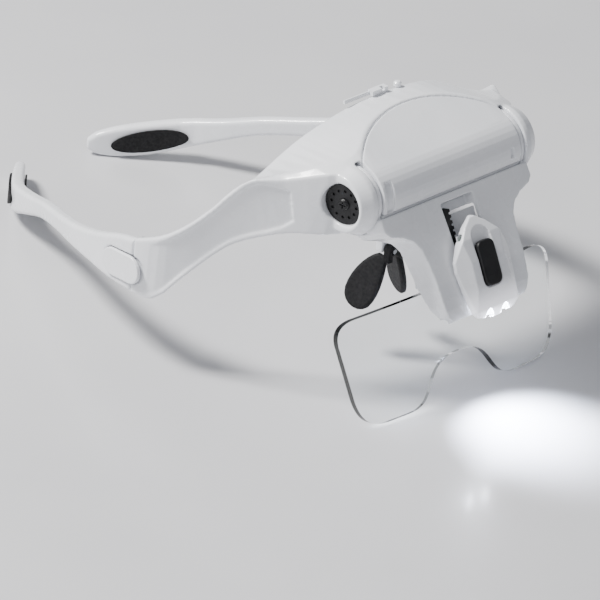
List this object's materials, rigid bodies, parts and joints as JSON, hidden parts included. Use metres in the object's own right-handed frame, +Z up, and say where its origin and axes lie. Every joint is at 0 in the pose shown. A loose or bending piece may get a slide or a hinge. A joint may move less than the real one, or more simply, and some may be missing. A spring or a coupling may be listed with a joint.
{
  "type": "head visor magnifier",
  "caption": "Head-worn visor magnifier: white brow frame with folding temple arms, a flip-up panel holding a clear lens, and a sliding LED lamp with its switch.",
  "frame": {"origin": "on the table, under the middle of the part's length and width", "axes": "+Z up, the visor's front faces -Y, +X to the wearer's left; the tilt axis is parallel to X, 76 mm above the table and 69.4 mm in front of the origin"},
  "size_m": [0.1588, 0.2167, 0.097],
  "materials": {
    "white": "glossy white moulded ABS, very slightly blue",
    "inner_white": "plain white inner moulding",
    "black": "satin black moulded plastic",
    "rubber": "soft black rubber with a faint grain",
    "steel": "plated steel",
    "spring_brass": "plated spring brass",
    "cell_wrap": null,
    "board_green": "green circuit board",
    "led_lit": "clear LED body, lit cool white",
    "lens_clear": "polished clear acrylic, 2.5 mm thick"
  },
  "bodies": {
    "frame": {"brow_frame": "white", "rear_cover": "white", "rear_screw_left": "steel", "rear_screw_right": "steel", "battery_tray": "inner_white", "battery_1": "cell_wrap", "battery_2": "cell_wrap", "battery_3": "cell_wrap", "contact_spring_1": "spring_brass", "contact_spring_2": "spring_brass", "contact_spring_3": "spring_brass", "contact_plate_left": "steel", "contact_plate_right": "steel", "ridge_clip": "white", "ridge_stud": "white", "pivot_cap_left": "black", "pivot_cap_right": "black", "pivot_screw_left": "black", "pivot_screw_right": "black", "nose_bracket": "white", "nose_pin_left": "steel", "nose_pin_right": "steel", "hinge_pin_left": "steel", "hinge_pin_right": "steel"},
    "battery_cover": {"battery_cover": "white"},
    "visor": {"visor_panel": "white", "panel_back": "white", "lens_holder": "white", "lamp_rack": "black", "slot_back": "inner_white"},
    "lamp": {"lamp_shell": "white", "lamp_base": "inner_white", "led_board": "board_green", "led_left": "led_lit", "led_right": "led_lit"},
    "switch": {"switch_slider": "black"},
    "lens": {"lens": "lens_clear"},
    "temple_left": {"temple_arm_left": "white", "temple_pad_inner_left": "rubber", "temple_pad_outer_left": "rubber"},
    "temple_right": {"temple_arm_right": "white", "temple_pad_inner_right": "rubber", "temple_pad_outer_right": "rubber"},
    "button_left": {"temple_button_left": "white"},
    "button_right": {"temple_button_right": "white"},
    "nose_left": {"nose_pad_left": "rubber"},
    "nose_right": {"nose_pad_right": "rubber"}
  },
  "joints": [
    {"name": "visor_tilt", "type": "hinge", "parent": "frame", "child": "visor", "pos_m": [0, -0.0694, 0.076], "axis": [-1, 0, 0], "range_deg": [0, 75]},
    {"name": "lamp_slide", "type": "slide", "parent": "visor", "child": "lamp", "axis": [0, 0.4679, 0.8838], "range_m": [0, 0.008]},
    {"name": "switch_slide", "type": "slide", "parent": "lamp", "child": "switch", "axis": [0, 0.4679, 0.8838], "range_m": [0, 0.004]},
    {"name": "lens_release", "type": "slide", "parent": "visor", "child": "lens", "axis": [0, -0.3338, -0.9426], "range_m": [0, 0.014]},
    {"name": "cover_lift", "type": "slide", "parent": "frame", "child": "battery_cover", "axis": [0, 0.7986, -0.6018], "range_m": [-0.014, 0]},
    {"name": "temple_fold_left", "type": "hinge", "parent": "frame", "child": "temple_left", "pos_m": [0.073, -0.0084, 0.037], "axis": [0, 0, 1], "range_deg": [0, 75]},
    {"name": "temple_fold_right", "type": "hinge", "parent": "frame", "child": "temple_right", "pos_m": [-0.073, -0.0084, 0.037], "axis": [0, 0, 1], "range_deg": [-75, 0]},
    {"name": "temple_button_left_press", "type": "slide", "parent": "frame", "child": "button_left", "axis": [-0.9925, -0.1219, 0], "range_m": [0, 0.001], "stiffness_N_per_m": 1000},
    {"name": "temple_button_right_press", "type": "slide", "parent": "frame", "child": "button_right", "axis": [0.9925, -0.1219, 0], "range_m": [0, 0.001], "stiffness_N_per_m": 1000},
    {"name": "nose_pad_left_turn", "type": "hinge", "parent": "frame", "child": "nose_left", "pos_m": [0.0024, -0.0584, 0.0406], "axis": [0, 1, 0], "range_deg": [-10, 10]},
    {"name": "nose_pad_right_turn", "type": "hinge", "parent": "frame", "child": "nose_right", "pos_m": [-0.0024, -0.0584, 0.0406], "axis": [0, 1, 0], "range_deg": [-10, 10]}
  ]
}
